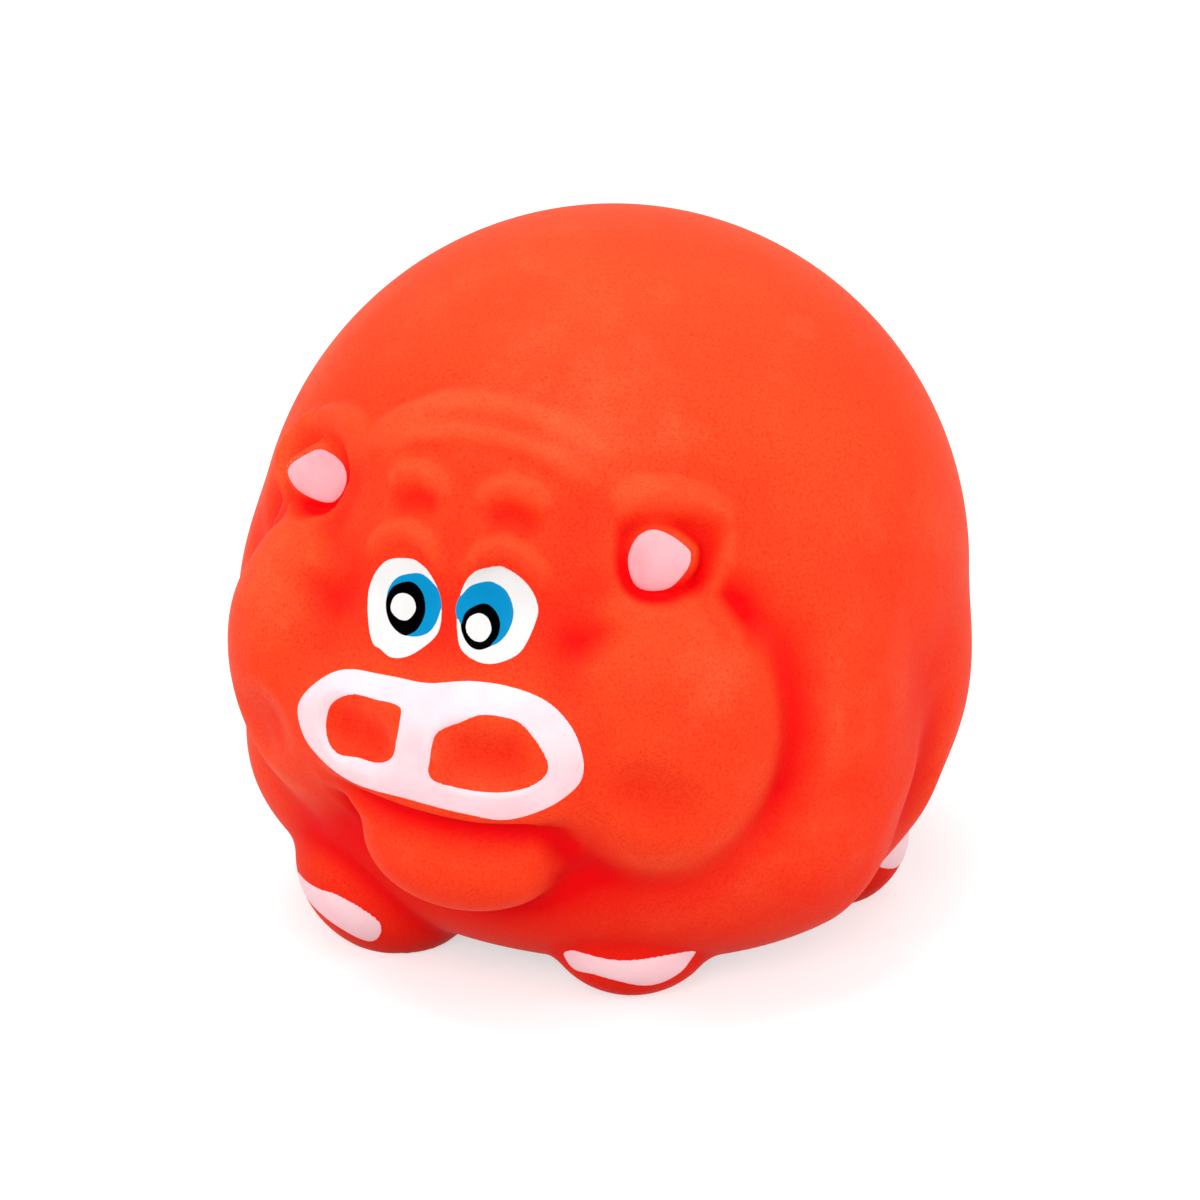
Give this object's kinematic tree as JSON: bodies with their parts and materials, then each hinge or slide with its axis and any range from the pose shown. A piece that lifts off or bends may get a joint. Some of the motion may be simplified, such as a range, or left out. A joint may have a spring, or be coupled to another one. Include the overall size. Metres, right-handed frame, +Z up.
{
  "type": "latex animal dog toy",
  "caption": "Round pig-shaped dog toy: a soft moulded skin with full cheeks, flat snout, small ears and stub feet, painted face and toes, fibre filling and a grunting squeaker in the belly.",
  "frame": {"origin": "on the floor under the middle of the toy, where its four soles stand", "axes": "+Z up, -Y the way the pig looks, +X to the pig's left"},
  "size_m": [0.0874, 0.0984, 0.0883],
  "materials": {
    "latex_red": "satin",
    "paint_white": "satin",
    "paint_blue": "satin",
    "paint_black": "satin",
    "paint_pink": "satin",
    "paint_ear_pink": "satin",
    "fibre_white": "matte",
    "plastic_white": "gloss",
    "plastic_amber": "gloss",
    "reed_brass": "polished",
    "screen_grey": "matte"
  },
  "bodies": {
    "toy": {"latex_skin": "latex_red", "fibre_stuffing": "fibre_white", "left_eye_white": "paint_white", "left_iris": "paint_blue", "left_pupil": "paint_black", "left_glint": "paint_white", "right_eye_white": "paint_white", "right_iris": "paint_blue", "right_pupil": "paint_black", "right_glint": "paint_white", "left_ear_paint": "paint_ear_pink", "right_ear_paint": "paint_ear_pink", "snout_paint": "paint_pink", "left_front_toe_paint": "paint_pink", "right_front_toe_paint": "paint_pink", "left_hind_toe_paint": "paint_pink", "right_hind_toe_paint": "paint_pink", "squeaker_housing": "plastic_white", "sound_grille": "plastic_white", "dust_screen": "screen_grey", "tone_block": "plastic_amber", "reed_wedge": "plastic_amber"},
    "reed": {"squeaker_reed": "reed_brass"}
  },
  "joints": [
    {"name": "reed_flex", "type": "hinge", "parent": "toy", "child": "reed", "pos_m": [0, 0.00197, 0.0081], "axis": [1, 0, 0], "range_deg": [-5, 5], "stiffness_Nm_per_rad": 0.002}
  ]
}
